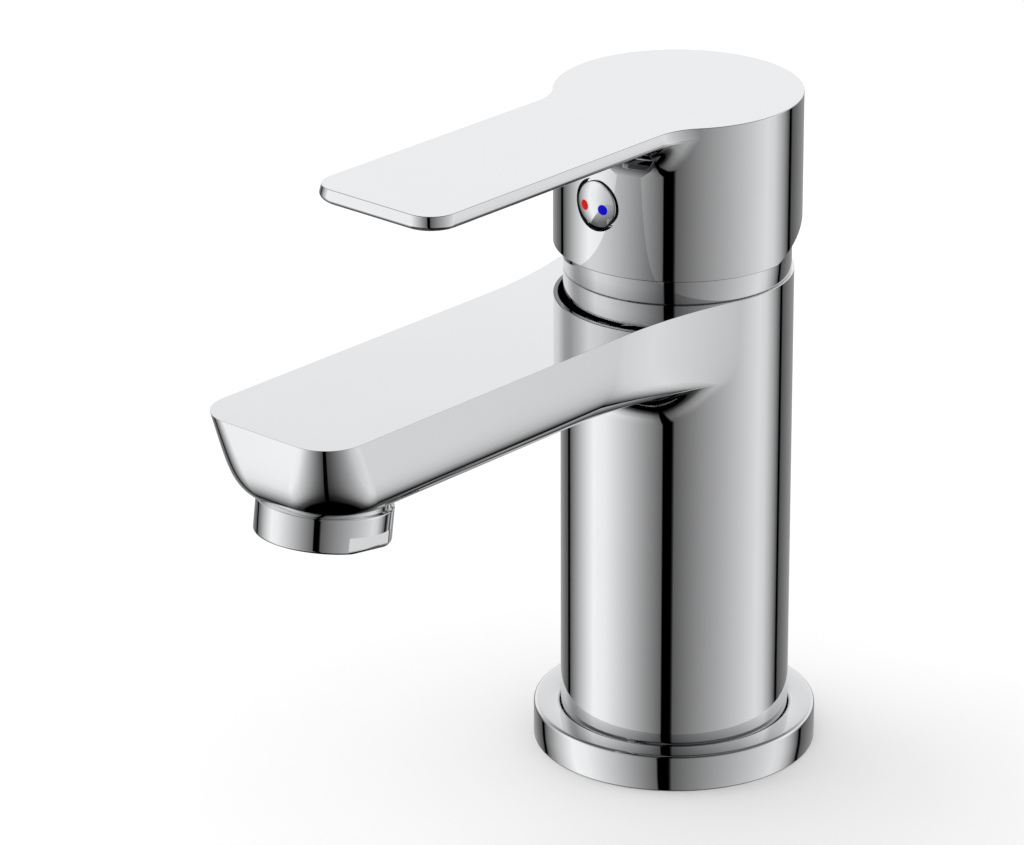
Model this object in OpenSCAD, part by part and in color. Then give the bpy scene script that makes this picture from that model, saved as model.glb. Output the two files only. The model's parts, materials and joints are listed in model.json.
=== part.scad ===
// Single lever basin mixer: flat cast spout, 35 mm ceramic cartridge, tilting and turning lever.
// Origin: middle of the deck face under the base flange. +Z up, spout and lever point to -Y.

/* [View] */
// Sub-part to draw
// Circle smoothness
fine = 96; // [64:8:128]

/* [Column and base] */
// Radius of the column
column_r = 22.6; // [22.6:0.1:23]
// Height of the flat top face of the body
top_z = 99.3; // [99.3:0.1:101]
// Outer radius of the base flange
flange_r = 28; // [27:0.5:32]
// Height of the base flange
flange_h = 7.5; // [6:0.5:10]

/* [Spout] */
// Reach of the spout from the column axis to its front edge
spout_reach = 115; // [110:1:130]
// Width of the flat top of the spout
spout_w = 34.4; // [33:0.2:36]
// Corner radius of the spout tip, seen from above
spout_corner_r = 8; // [6:0.5:9]
// Thickness of the spout
spout_h = 16.6; // [16:0.2:18]
// Radius of the flare where the spout side runs into the column
flare_r = 100; // [60:5:120]

/* [Lever and cap] */
// Outer radius of the handle cap
cap_r = 24; // [24:0.1:25]
// Height of the lever top above the deck
total_h = 135.2; // [134:0.2:138]
// Height of the front half of the cap rim
rim_z = 104.6; // [104:0.1:105]
// Slope of the raised rear half of the cap rim, in degrees
rim_slope = 22.3; // [22:0.1:26]
// Reach of the lever from the cap axis
lever_reach = 85.5; // [70:0.5:100]
// Width of the lever
lever_w = 30.8; // [26:0.2:34]
// Height of the middle of the index button
button_z = 118.1; // [118:0.1:119]

/* [Hidden] */
$fn = fine;
// Overshoot of a cut past the face that it opens
cut = 1;

// Colours
chrome = [0.82, 0.83, 0.85];
brass = [0.80, 0.66, 0.36];
steel = [0.66, 0.67, 0.69];
rubber = [0.12, 0.12, 0.12];
plastic_white = [0.90, 0.90, 0.88];
plastic_grey = [0.45, 0.47, 0.50];
plastic_blue = [0.16, 0.30, 0.52];
ceramic_white = [0.95, 0.95, 0.93];

// Base: flange lip under the column, gasket groove
lip_h = 2.2;
lip_r = 20.2;
flange_bore_r = column_r + 0.1;
flange_edge_r = 0.8;
flange_lip_round = 1;
gasket_r_in = 23.6;
gasket_r_out = 26.4;
gasket_h = 1.5;
skirt_r = 19.4;
skirt_top_z = 28;

// Inlets, fixing stud hole and waterways in the body
inlet_x = 8;
inlet_y = -5;
inlet_thread_r = 4.6;
inlet_thread_l = 12;
stud_y = 10;
stud_thread_r = 3.4;
stud_thread_l = 14;
waterway_r = 3.5;
outlet_y = 8;
outlet_port_r = 3.2;
seat_z = 80;
channel_x = 3.4;
channel_z = 71;
channel_h = 6;
riser_y = -15.5;
riser_r = 4.5;
sump = 0.6;
spout_way_r = 3.9;
spout_way_z = 88.6;
riser_top_z = spout_way_z + spout_way_r + 0.8;

// Cartridge
cartridge_r = 17.3;
cartridge_bore_r = 17.5;
base_h = 4;
fixed_disc_r = 13.5;
disc_h = 3;
disc_gap = 0.05;
moving_disc_r = 10;
moving_disc_h = 2.55;
port_r = 2.8;
shoulder_z = 94.6;
housing_r_in = 14.6;
housing_neck_r = 15.5;
housing_neck_in = 13.6;
housing_top_z = 102;
housing_plate_h = 2.5;
rotor_bearing_gap = 0.08;
disc_z = seat_z + base_h;
moving_z = disc_z + disc_h + disc_gap;
carrier_z = moving_z + moving_disc_h;
carrier_h = 6.2;
carrier_r = 10.5;

// Tilting stem: pivot, lean at rest, lower arm and ball
pivot_z = 106;
stem_lean = 11;
arm_l = 13.2;
ball_r = 2.5;
ball_gap = 0.35;
pin_r = 1.5;
pin_half_l = 9;
pin_fit = 0.05;
blade_x = 2.8;
square_half = 4;
square_from = 5.5;
stem_top = 21;

// Rotor
rotor_r = 9.5;
rotor_flange_r = 13.2;
rotor_flange_z = 96.2;
rotor_flange_top = 99.2;
rotor_top_z = 109.5;
slot_x = 3.2;
slot_y = 5.8;

// Retaining nut and cover ring
nut_thread_r = 19;
nut_bore_r = 15.7;
nut_collar_top = 101.2;
nut_hex_r = 19.6;
nut_top_z = 104.4;
ring_r = 22.1;
ring_bore_r = 20.1;
ring_edge_z = 105.2;
ring_top_z = 108;
ring_hole_r = 13;
ring_foot = 0.25;

// Aerator, square to an outlet that leans away from the column
aerator_y = -99.45;
aerator_z = 74.9;
aerator_lean = -8.3;
aerator_r = 12.7;
collar_h = 8;
collar_edge = 0.5;
sleeve_r = 10.5;
sleeve_bore_r = 9;
sleeve_top = 16;
chamber_top = 19;
flat_x = 11.45;
flat_h = 3.2;

// Cap and lever
cap_wall = 0.85;
cap_in_r = cap_r - cap_wall;
cap_top_t = 3.5;
rim_kink_y = 1.3;
neck_r = 12;
// How far the neck fillets' circles cut past their tangent points
neck_bite = 0.1;
lever_edge_t = 1.66;
lever_t = 3.1;
lever_corner_r = 5.6;
lever_under_in = 1.45;
root_fillet_r = 7;
hub_x = 7.5;
hub_back_y = 7;
hub_z = 114;
hub_front_z = 112;
hub_step_y = -15;
screw_r = 2;
screw_from_y = -15.5;
screw_to_y = -6.95;
button_r = 4.65;
// Gap round the visible button, and its wider foot inside the cap
button_gap = 0.6;
button_foot_y = -22.2;
button_rim_y = -23.7;
button_seat_y = -20.6;
button_dome_r = 11.5;
mark_r = 1.05;
hot_x = -2.4;
cold_x = 2.4;
mark_dz = -0.45;

// Inset of the rounded lower edge of the spout at a depth h under the top face
function roll_in(h) = 5.3 * (1 - sqrt(max(0, 1 - pow(h / spout_h, 6))));
// Side and front insets of the spout, and its corner radius, at a depth h
function side_in(h) = 0.05 * max(0, h) + roll_in(h);
function front_in(h) = 0.13 * max(0, h) + roll_in(h);
function corner_at(h) = spout_corner_r + 0.33 * max(0, h) - roll_in(h);
// Right half of the spout outline at a depth h, from the column to the middle of the front
flare_end_r = column_r - 0.5;
flare_steps = 7;
corner_steps = 6;
function flare_y(w) = -sqrt(pow(flare_end_r + flare_r, 2) - pow(w + flare_r, 2));
function flare_a(w) = atan2(-flare_y(w), w + flare_r);
function right_half(h) =
    let (w = spout_w / 2 - side_in(h), front = spout_reach - front_in(h), r = corner_at(h), yc = flare_y(w),
         a = flare_a(w))
    concat(
        [for (i = [0:flare_steps]) let (t = a * (1 - i / flare_steps))
            [w + flare_r - flare_r * cos(t), yc + flare_r * sin(t)]],
        [for (i = [0:corner_steps]) let (t = 90 * i / corner_steps)
            [w - r + r * cos(t), -front + r - r * sin(t)]]
    );
function mirrored(p) = [for (i = [len(p) - 1:-1:0]) [-p[i][0], p[i][1]]];
function outline(h) = concat(right_half(h), mirrored(right_half(h)));
levels = [-cut, 0, 3.5, 7, 10, 12.2, 13.8, 15, 15.8, 16.3, spout_h];
ring_n = len(outline(0));
spout_points = [for (h = levels) for (p = outline(h)) [p[0], p[1], top_z - h]];
spout_faces = concat(
    [[for (i = [0:ring_n - 1]) i]],
    [for (k = [0:len(levels) - 2]) for (i = [0:ring_n - 1])
        [k * ring_n + i, (k + 1) * ring_n + i, (k + 1) * ring_n + (i + 1) % ring_n]],
    [for (k = [0:len(levels) - 2]) for (i = [0:ring_n - 1])
        [k * ring_n + i, (k + 1) * ring_n + (i + 1) % ring_n, k * ring_n + (i + 1) % ring_n]],
    [[for (i = [ring_n - 1:-1:0]) (len(levels) - 1) * ring_n + i]]
);
web_r = 8;
web_z = top_z - spout_h;
// How far the fillets cut past their tangent lines, so that no edge is paper thin
web_bite = 0.15;

// Straight round bar from z0 to z1
module rod(r, z0, z1) {
    translate([0, 0, z0])
        cylinder(h = z1 - z0, r = r);
}

// Plain ring from z0 to z1
module ring(r_out, r_in, z0, z1) {
    difference() {
        rod(r_out, z0, z1);
        rod(r_in, z0 - cut, z1 + cut);
    }
}

// Puts its children in the frame of the leaning aerator, bottom centre at the origin
module on_aerator() {
    translate([0, aerator_y, aerator_z])
        rotate([aerator_lean, 0, 0])
            children();
}

// Puts its children in the frame of the leaning stem, pivot at the origin
module on_stem() {
    translate([0, 0, pivot_z])
        rotate([stem_lean, 0, 0])
            children();
}

// Round bar along Y at the height of the index button, from y0 (front) to y1
module front_rod(r, y0, y1, x = 0, z = button_z) {
    translate([x, y1, z])
        rotate([90, 0, 0])
            cylinder(h = y1 - y0, r = r);
}

// Fillet between the column and the underside of the spout
module web() {
    intersection() {
        difference() {
            rod(column_r + web_r, web_z - web_r, web_z + 0.5);
            translate([0, 0, web_z - web_r])
                rotate_extrude()
                    translate([column_r + web_r - web_bite, 0])
                        circle(r = web_r);
        }
        translate([-spout_w / 2 + 7, -column_r - web_r, web_z - web_r - cut])
            cube([spout_w - 14, column_r + web_r - 14, web_r + 2 * cut]);
    }
}

module body() {
    color(chrome)
        difference() {
            union() {
                rod(column_r, lip_h, top_z + cut);
                polyhedron(points = spout_points, faces = spout_faces, convexity = 6);
                web();
            }
            translate([-column_r - cut, -spout_reach - cut, top_z])
                cube([2 * (column_r + cut), spout_reach + column_r + 2 * cut, 2 * cut]);
            rod(skirt_r, -cut, skirt_top_z);
            for (side = [-1, 1])
                translate([side * inlet_x, inlet_y, 0]) {
                    rod(inlet_thread_r, skirt_top_z - cut, skirt_top_z + inlet_thread_l);
                    rod(waterway_r, skirt_top_z, seat_z + cut);
                }
            translate([0, stud_y, 0])
                rod(stud_thread_r, skirt_top_z - cut, skirt_top_z + stud_thread_l);
            translate([0, outlet_y, 0])
                rod(outlet_port_r, channel_z + 1, seat_z + cut);
            translate([-channel_x, riser_y, channel_z])
                cube([2 * channel_x, outlet_y - riser_y, channel_h]);
            translate([0, riser_y, 0])
                rod(riser_r, channel_z - sump, riser_top_z);
            rod(cartridge_bore_r, seat_z, top_z + cut);
            rod(nut_thread_r + 0.05, shoulder_z, top_z + cut);
            front_rod(spout_way_r, aerator_y, riser_y, 0, spout_way_z);
            on_aerator() {
                rod(sleeve_r + 0.05, 0, chamber_top);
                rod(aerator_r + 0.5, -cut, collar_h);
            }
        }
}

module base_flange() {
    color(chrome)
        difference() {
            rotate_extrude()
                polygon(concat(
                    [[lip_r, 0], [flange_r, 0]],
                    [for (a = [0:15:90])
                        [flange_r - flange_edge_r * (1 - cos(a)), flange_h - flange_edge_r * (1 - sin(a))]],
                    [for (a = [90:15:180])
                        [flange_bore_r + flange_lip_round * (1 + cos(a)), flange_h - flange_lip_round * (1 - sin(a))]],
                    [[flange_bore_r, lip_h], [lip_r, lip_h]]
                ));
            ring(gasket_r_out, gasket_r_in, -cut, gasket_h);
        }
}

module base_gasket() {
    color(rubber)
        ring(gasket_r_out, gasket_r_in, 0, gasket_h);
}

module aerator_housing() {
    color(chrome)
        on_aerator()
            difference() {
                union() {
                    rod(aerator_r, collar_edge, collar_h - collar_edge);
                    cylinder(h = collar_edge, r1 = aerator_r - collar_edge, r2 = aerator_r);
                    translate([0, 0, collar_h - collar_edge])
                        cylinder(h = collar_edge, r1 = aerator_r, r2 = aerator_r - collar_edge);
                    rod(sleeve_r, collar_h - cut, sleeve_top);
                }
                rod(sleeve_bore_r, 1.2, sleeve_top + cut);
                rod(sleeve_bore_r - 1, -cut, 2);
                for (side = [0, 180])
                    rotate([0, 0, side])
                        translate([flat_x, -aerator_r, -cut])
                            cube([aerator_r, 2 * aerator_r, flat_h + cut]);
            }
}

module aerator_insert() {
    color(plastic_white)
        on_aerator()
            difference() {
                union() {
                    rod(sleeve_bore_r - 0.1, 1.3, 13.5);
                    rod(sleeve_bore_r - 1.2, 0.4, 1.4);
                }
                rod(6.2, 8, 13.5 + cut);
                for (ix = [-2:2])
                    for (iy = [-2:2])
                        translate([ix * 2.6, iy * 2.6, -cut])
                            cylinder(h = 12, r = 0.8, $fn = 12);
            }
}

module aerator_washer() {
    color(rubber)
        on_aerator()
            ring(sleeve_r, sleeve_bore_r - 1.8, sleeve_top, sleeve_top + 1.6);
}

// Three port positions of the cartridge
module at_ports() {
    for (p = [[-inlet_x, inlet_y], [inlet_x, inlet_y], [0, outlet_y]])
        translate([p[0], p[1], 0])
            children();
}

module cartridge_base() {
    color(plastic_blue)
        difference() {
            rod(cartridge_r, seat_z, disc_z);
            at_ports()
                rod(port_r, seat_z - cut, disc_z + cut);
            at_ports()
                rod(4.6, seat_z - cut, seat_z + 1.2);
            rod(fixed_disc_r, disc_z - 0.8, disc_z + cut);
        }
}

module port_seals() {
    color(rubber)
        at_ports()
            ring(4.5, 3.3, seat_z, seat_z + 1.2);
}

module disc_seal() {
    color(rubber)
        difference() {
            rod(fixed_disc_r - 0.1, disc_z - 0.8, disc_z);
            at_ports()
                rod(port_r, disc_z - cut - 1, disc_z + cut);
        }
}

module fixed_disc() {
    color(ceramic_white)
        difference() {
            rod(fixed_disc_r, disc_z, disc_z + disc_h);
            at_ports()
                rod(port_r, disc_z - cut, disc_z + disc_h + cut);
        }
}

module cartridge_housing() {
    color(plastic_grey)
        difference() {
            union() {
                rod(cartridge_r, disc_z, shoulder_z);
                rod(housing_neck_r, shoulder_z - cut, housing_top_z);
            }
            rod(housing_r_in, disc_z - cut, shoulder_z - 1.5);
            rod(housing_neck_in, disc_z, housing_top_z - housing_plate_h);
            rod(rotor_r + rotor_bearing_gap, shoulder_z, housing_top_z + cut);
            ring(cartridge_r + cut, cartridge_r - 1.1, shoulder_z - 1.7, shoulder_z - 0.3);
        }
}

module housing_seal() {
    color(rubber)
        ring(cartridge_bore_r - 0.02, cartridge_r - 1.1, shoulder_z - 1.65, shoulder_z - 0.35);
}

module retaining_nut() {
    color(brass)
        difference() {
            union() {
                rod(nut_thread_r, shoulder_z, nut_collar_top);
                translate([0, 0, nut_collar_top])
                    cylinder(h = nut_top_z - nut_collar_top, r = nut_hex_r, $fn = 6);
            }
            rod(nut_bore_r, shoulder_z - cut, nut_top_z + cut);
        }
}

module cover_seal() {
    color(rubber)
        ring(ring_bore_r - 0.02, nut_thread_r + 0.02, top_z + 0.3, nut_collar_top - 0.2);
}

module cover_ring() {
    color(chrome)
        difference() {
            rotate_extrude()
                polygon([
                    [ring_bore_r, top_z],
                    [ring_r - ring_foot, top_z],
                    [ring_r - ring_foot, top_z + 0.2],
                    [ring_r, top_z + 0.2 + ring_foot],
                    [ring_r, ring_edge_z],
                    [ring_hole_r, ring_top_z],
                    [ring_hole_r, ring_top_z - 1.6],
                    [ring_bore_r, ring_edge_z - 0.5]
                ]);
        }
}

module rotor() {
    color(plastic_white)
        difference() {
            union() {
                rod(rotor_flange_r, rotor_flange_z, rotor_flange_top);
                rod(rotor_r, rotor_flange_z, rotor_top_z);
            }
            translate([-slot_x, -slot_y, rotor_flange_z - cut])
                cube([2 * slot_x, 2 * slot_y, rotor_top_z - rotor_flange_z + 2 * cut]);
            translate([-rotor_r - cut, 0, pivot_z])
                rotate([0, 90, 0])
                    cylinder(h = 2 * (rotor_r + cut), r = pin_r + 0.02);
        }
}

module pivot_pin() {
    color(steel)
        translate([-pin_half_l, 0, pivot_z])
            rotate([0, 90, 0])
                cylinder(h = 2 * pin_half_l, r = pin_r);
}

// Sideways position of the disc at rest, under the leaning stem
disc_rest_y = arm_l * sin(stem_lean);

module disc_carrier() {
    color(plastic_blue)
        translate([0, disc_rest_y, 0])
            difference() {
                rod(carrier_r, carrier_z, carrier_z + carrier_h);
                rod(ball_r + ball_gap, carrier_z + 0.4, carrier_z + carrier_h + cut);
            }
}

module moving_disc() {
    color(ceramic_white)
        translate([0, disc_rest_y, 0])
            difference() {
                rod(moving_disc_r, moving_z, carrier_z);
                translate([0, 1.5, 0])
                    rod(7, moving_z - cut, moving_z + 1.2);
            }
}

module stem() {
    color(brass)
        on_stem()
            difference() {
                union() {
                    translate([0, 0, -arm_l])
                        sphere(r = ball_r);
                    rod(1.9, -arm_l, 0);
                    translate([-blade_x, 0, 0])
                        rotate([0, 90, 0])
                            cylinder(h = 2 * blade_x, r = 4);
                    translate([-blade_x, -3, 0])
                        cube([2 * blade_x, 6, square_from + cut]);
                    translate([-square_half, -square_half, square_from])
                        cube([2 * square_half, 2 * square_half, stem_top - square_from]);
                }
                translate([-blade_x - cut, 0, 0])
                    rotate([0, 90, 0])
                        cylinder(h = 2 * (blade_x + cut), r = pin_r + pin_fit);
            }
}

// Plate with the lever's outline, inset by d, from z0 to z1
module lever_plate(d, z0, z1) {
    w = lever_w / 2 - d;
    r = lever_corner_r - d;
    translate([0, 0, z0])
        linear_extrude(z1 - z0)
            hull() {
                for (side = [-1, 1])
                    translate([side * (w - r), -lever_reach + d + r])
                        circle(r = r);
                translate([-w, -1])
                    square([2 * w, 1]);
            }
}

// Plan fillets where the lever runs into the cap
module neck_fillets() {
    cx = lever_w / 2 + neck_r;
    cy = sqrt(pow(cap_r + neck_r, 2) - cx * cx);
    for (side = [-1, 1])
        translate([0, 0, total_h - lever_t])
            linear_extrude(lever_t)
                difference() {
                    polygon([[0, 0], [side * cap_r * cx / (cap_r + neck_r), -cap_r * cy / (cap_r + neck_r)],
                        [side * cx, -cy], [side * lever_w / 2, -cy]]);
                    translate([side * cx, -cy])
                        circle(r = neck_r + neck_bite);
                }
}

// Fillet between the cap front and the underside of the lever
module root_fillet() {
    z = total_h - lever_t;
    intersection() {
        difference() {
            rod(cap_r + root_fillet_r, z - root_fillet_r, z + 0.2);
            translate([0, 0, z - root_fillet_r])
                rotate_extrude()
                    translate([cap_r + root_fillet_r - web_bite, 0])
                        circle(r = root_fillet_r);
        }
        translate([-lever_w / 2 + lever_under_in, -cap_r - root_fillet_r, z - root_fillet_r - cut])
            cube([lever_w - 2 * lever_under_in, cap_r + root_fillet_r - 14, root_fillet_r + 2 * cut]);
    }
}

module handle() {
    color(chrome)
        difference() {
            union() {
                difference() {
                    rod(cap_r, rim_z, total_h);
                    rod(cap_in_r, rim_z - cut, total_h - cap_top_t);
                }
                lever_plate(0, total_h - lever_edge_t, total_h);
                hull() {
                    lever_plate(0, total_h - lever_edge_t - 0.1, total_h - lever_edge_t);
                    lever_plate(lever_under_in, total_h - lever_t, total_h - lever_t + 0.1);
                }
                neck_fillets();
                difference() {
                    root_fillet();
                    rod(cap_r - 0.2, rim_z, total_h);
                }
                intersection() {
                    rod(cap_r - 0.4, rim_z, total_h);
                    union() {
                        translate([-hub_x, -cap_r, hub_z])
                            cube([2 * hub_x, cap_r + hub_back_y, total_h - hub_z - 1]);
                        translate([-hub_x, -cap_r, hub_front_z])
                            cube([2 * hub_x, cap_r + hub_step_y, total_h - hub_front_z - 1]);
                    }
                }
            }
            translate([0, rim_kink_y, rim_z])
                rotate([rim_slope, 0, 0])
                    translate([-cap_r - cut, 0, -20])
                        cube([2 * (cap_r + cut), 2 * cap_r, 20]);
            on_stem()
                translate([-square_half - pin_fit, -square_half - pin_fit, 0])
                    cube([2 * (square_half + pin_fit), 2 * (square_half + pin_fit), stem_top + 0.3]);
            front_rod(screw_r + 0.02, -cap_r - cut, 0);
            front_rod(button_r + button_gap, -cap_r - 2 * cut, button_seat_y);
        }
}

module set_screw() {
    color(steel)
        difference() {
            front_rod(screw_r, screw_from_y, screw_to_y);
            translate([0, screw_from_y + 2, button_z])
                rotate([90, 0, 0])
                    cylinder(h = 4, r = 1.15, $fn = 6);
        }
}

// Domed front of the index button, also cut to make the marks
module button_dome(r, x, z, back_y) {
    intersection() {
        front_rod(r, button_rim_y - 3, back_y, x, z);
        translate([0, button_rim_y + sqrt(pow(button_dome_r, 2) - pow(button_r, 2)), button_z])
            sphere(r = button_dome_r);
    }
}

module index_button() {
    color(chrome)
        difference() {
            union() {
                button_dome(button_r, 0, button_z, button_seat_y);
                front_rod(button_r + button_gap - 0.1, button_foot_y, button_seat_y);
            }
            for (x = [hot_x, cold_x])
                front_rod(mark_r, button_rim_y - 3, button_rim_y + 0.3, x, button_z + mark_dz);
        }
}

module hot_mark() {
    color([0.85, 0.08, 0.08])
        button_dome(mark_r, hot_x, button_z + mark_dz, button_rim_y + 0.3);
}

module cold_mark() {
    color([0.08, 0.12, 0.85])
        button_dome(mark_r, cold_x, button_z + mark_dz, button_rim_y + 0.3);
}

body();
base_flange();
base_gasket();
aerator_housing();
aerator_insert();
aerator_washer();
cartridge_base();
port_seals();
disc_seal();
fixed_disc();
cartridge_housing();
housing_seal();
retaining_nut();
cover_seal();
cover_ring();
rotor();
pivot_pin();
disc_carrier();
moving_disc();
stem();
handle();
set_screw();
index_button();
hot_mark();
cold_mark();
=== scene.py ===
"""Looks of the single-lever basin mixer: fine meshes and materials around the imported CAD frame."""
import json
import math

import bpy
import numpy as np
from mathutils import Matrix, Vector
from mathutils.geometry import delaunay_2d_cdt


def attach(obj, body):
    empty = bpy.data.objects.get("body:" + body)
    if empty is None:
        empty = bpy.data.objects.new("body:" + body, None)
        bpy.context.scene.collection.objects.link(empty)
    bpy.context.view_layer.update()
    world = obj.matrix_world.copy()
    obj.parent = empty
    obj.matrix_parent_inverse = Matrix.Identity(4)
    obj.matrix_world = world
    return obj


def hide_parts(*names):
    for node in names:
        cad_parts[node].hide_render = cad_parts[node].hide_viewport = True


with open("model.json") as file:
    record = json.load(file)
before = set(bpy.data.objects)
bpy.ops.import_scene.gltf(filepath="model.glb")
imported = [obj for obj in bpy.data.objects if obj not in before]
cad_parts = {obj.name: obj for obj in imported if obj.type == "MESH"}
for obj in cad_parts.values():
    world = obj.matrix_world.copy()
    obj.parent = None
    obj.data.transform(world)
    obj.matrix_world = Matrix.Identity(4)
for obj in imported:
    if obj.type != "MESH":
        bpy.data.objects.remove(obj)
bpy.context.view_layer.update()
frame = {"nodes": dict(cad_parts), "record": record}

MM = 0.001
WELD = 0.002
PI = math.pi

# ---------------------------------------------------------------- mesh kit


class Build:
    """Collects faces with a normal for each corner, in millimetres, and welds them into one closed mesh."""

    def __init__(self):
        self.tris = []
        self.normals = []
        self.slots = []

    def face(self, points, normals, slot=0):
        self.tris.append([tuple(map(float, p)) for p in points])
        self.normals.append([tuple(map(float, n)) for n in normals])
        self.slots.append(slot)

    def grid(self, pos, nor, slot=0, flip=False):
        """A sheet of quads from arrays shaped rows, columns, 3."""
        rows, cols = pos.shape[:2]
        for i in range(rows - 1):
            for j in range(cols - 1):
                q = [(i, j), (i, j + 1), (i + 1, j + 1), (i + 1, j)]
                if flip:
                    q = q[::-1]
                self.face([pos[a] for a in q], [nor[a] for a in q], slot)

    def flat(self, loops, normal, slot=0):
        """A flat face with an outline and holes, all given as lists of points."""
        n = Vector(normal).normalized()
        t = n.orthogonal().normalized()
        b = n.cross(t)
        pts, edges, all3 = [], [], []
        for loop in loops:
            k = len(pts)
            for p in loop:
                v = Vector(p)
                pts.append(Vector((v.dot(t), v.dot(b))))
                all3.append(tuple(p))
            edges += [(k + i, k + (i + 1) % len(loop)) for i in range(len(loop))]
        verts, _, faces, orig, _, _ = delaunay_2d_cdt(pts, edges, [], 0, 1e-6)
        back = [all3[o[0]] if o else None for o in orig]
        rings = [np.array([(p.x, p.y) for p in pts[s:e]]) for s, e in _spans(loops)]
        for f in faces:
            if any(back[i] is None for i in f):
                continue
            c = sum((Vector(verts[i]) for i in f), Vector((0, 0))) / len(f)
            if sum(_inside(c, r) for r in rings) % 2 == 0:
                continue
            p3 = [back[i] for i in f]
            m = (Vector(p3[1]) - Vector(p3[0])).cross(Vector(p3[2]) - Vector(p3[0]))
            if m.length < 1e-12:
                continue
            if m.dot(n) < 0:
                p3 = p3[::-1]
            self.face(p3, [n] * len(p3), slot)

    def lathe(self, profile, steps=96, frame_m=None, crease=28):
        """Turns a closed profile of (radius, height) round +Z.

        Corners that turn more than crease degrees stay sharp.
        """
        prof = [np.array(p, float) for p in profile]
        n = len(prof)
        seg = []
        for i in range(n):
            d = prof[(i + 1) % n] - prof[i]
            length = np.hypot(*d)
            seg.append(np.array([d[1], -d[0]]) / max(length, 1e-9))
        area = sum(prof[i][0] * prof[(i + 1) % n][1] - prof[(i + 1) % n][0] * prof[i][1] for i in range(n))
        turn = 1 if area > 0 else -1
        seg = [s * turn for s in seg]
        limit = math.cos(math.radians(crease))
        first, second = [], []
        for i in range(n):
            a, b = seg[i - 1], seg[i]
            if a @ b > limit:
                m = (a + b) / np.linalg.norm(a + b)
                first.append(m)
                second.append(m)
            else:
                first.append(a)
                second.append(b)
        mat = np.array(frame_m if frame_m is not None else Matrix.Identity(4), float)
        ang = np.linspace(0, 2 * PI, steps + 1)
        cs, sn = np.cos(ang), np.sin(ang)
        for i in range(n):
            j = (i + 1) % n
            p, q = prof[i], prof[j]
            if p[0] < 1e-7 and q[0] < 1e-7:
                continue
            na, nb = second[i], first[j]
            for k in range(steps):
                quad, nrm = [], []
                order = [(p, na, k), (p, na, k + 1), (q, nb, k + 1), (q, nb, k)]
                for pt, nn, kk in order:
                    kk = kk % steps
                    v = np.array([pt[0] * cs[kk], pt[0] * sn[kk], pt[1]])
                    w = np.array([nn[0] * cs[kk], nn[0] * sn[kk], nn[1]])
                    quad.append(mat[:3, :3] @ v + mat[:3, 3])
                    nrm.append(mat[:3, :3] @ w)
                if turn < 0:
                    quad, nrm = quad[::-1], nrm[::-1]
                if min(p[0], q[0]) < 1e-7:
                    quad, nrm = _drop_pair(quad, nrm)
                self.face(quad, nrm)

    def done(self, name, body, materials, replaces=()):
        """Makes the object, in metres, and ties it to its body."""
        key, verts, faces, loops, slots = {}, [], [], [], []

        def vertex(p):
            """The number of the vertex at p: one made before, if one is within the weld distance."""
            cell = [math.floor(c / WELD) for c in p]
            sides = [(c, c - 1) if v / WELD - c < 0.5 else (c, c + 1) for c, v in zip(cell, p)]
            for x in sides[0]:
                for y in sides[1]:
                    for z in sides[2]:
                        if (x, y, z) in key:
                            return key[(x, y, z)]
            key[tuple(cell)] = len(verts)
            verts.append(tuple(c * MM for c in p))
            return key[tuple(cell)]

        for tri, nrm, s in zip(self.tris, self.normals, self.slots):
            ids, nn = [], []
            for p, n in zip(tri, nrm):
                k = vertex(p)
                if k not in ids:
                    ids.append(k)
                    nn.append(n)
            if len(ids) < 3:
                continue
            faces.append(ids)
            loops += nn
            slots.append(s)
        mesh = bpy.data.meshes.new(name)
        mesh.from_pydata(verts, [], faces)
        for m in materials:
            mesh.materials.append(m)
        mesh.polygons.foreach_set("use_smooth", [True] * len(faces))
        mesh.polygons.foreach_set("material_index", slots)
        mesh.update()
        unit = np.array(loops, float)
        unit /= np.maximum(np.linalg.norm(unit, axis=1, keepdims=True), 1e-9)
        if len(mesh.loops) == len(loops):
            mesh.normals_split_custom_set([tuple(n) for n in unit])
        else:
            print("loop count differs on", name, len(mesh.loops), len(loops))
        obj = bpy.data.objects.new(name, mesh)
        bpy.context.scene.collection.objects.link(obj)
        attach(obj, body)
        if replaces:
            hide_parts(*replaces)
        return obj


def _drop_pair(quad, nrm):
    """The two corners of a quad that meet on the axis become one."""
    out_p, out_n = [], []
    for p, n in zip(quad, nrm):
        if out_p and np.linalg.norm(np.array(p) - np.array(out_p[-1])) < 1e-9:
            continue
        out_p.append(p)
        out_n.append(n)
    if len(out_p) > 3 and np.linalg.norm(np.array(out_p[0]) - np.array(out_p[-1])) < 1e-9:
        out_p.pop()
        out_n.pop()
    return out_p, out_n


def _spans(loops):
    k = 0
    for loop in loops:
        yield k, k + len(loop)
        k += len(loop)


def _inside(c, ring):
    x, y = ring[:, 0], ring[:, 1]
    x2, y2 = np.roll(x, -1), np.roll(y, -1)
    cross = ((y > c.y) != (y2 > c.y)) & (c.x < (x2 - x) * (c.y - y) / np.where(y2 == y, 1e-12, y2 - y) + x)
    return int(cross.sum() % 2)


def arc(cx, cy, r, a0, a1, steps):
    """Points of an arc from angle a0 to a1, in degrees."""
    return [(cx + r * math.cos(math.radians(a0 + (a1 - a0) * i / steps)),
             cy + r * math.sin(math.radians(a0 + (a1 - a0) * i / steps))) for i in range(steps + 1)]


# ---------------------------------------------------------------- column with an arm


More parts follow.
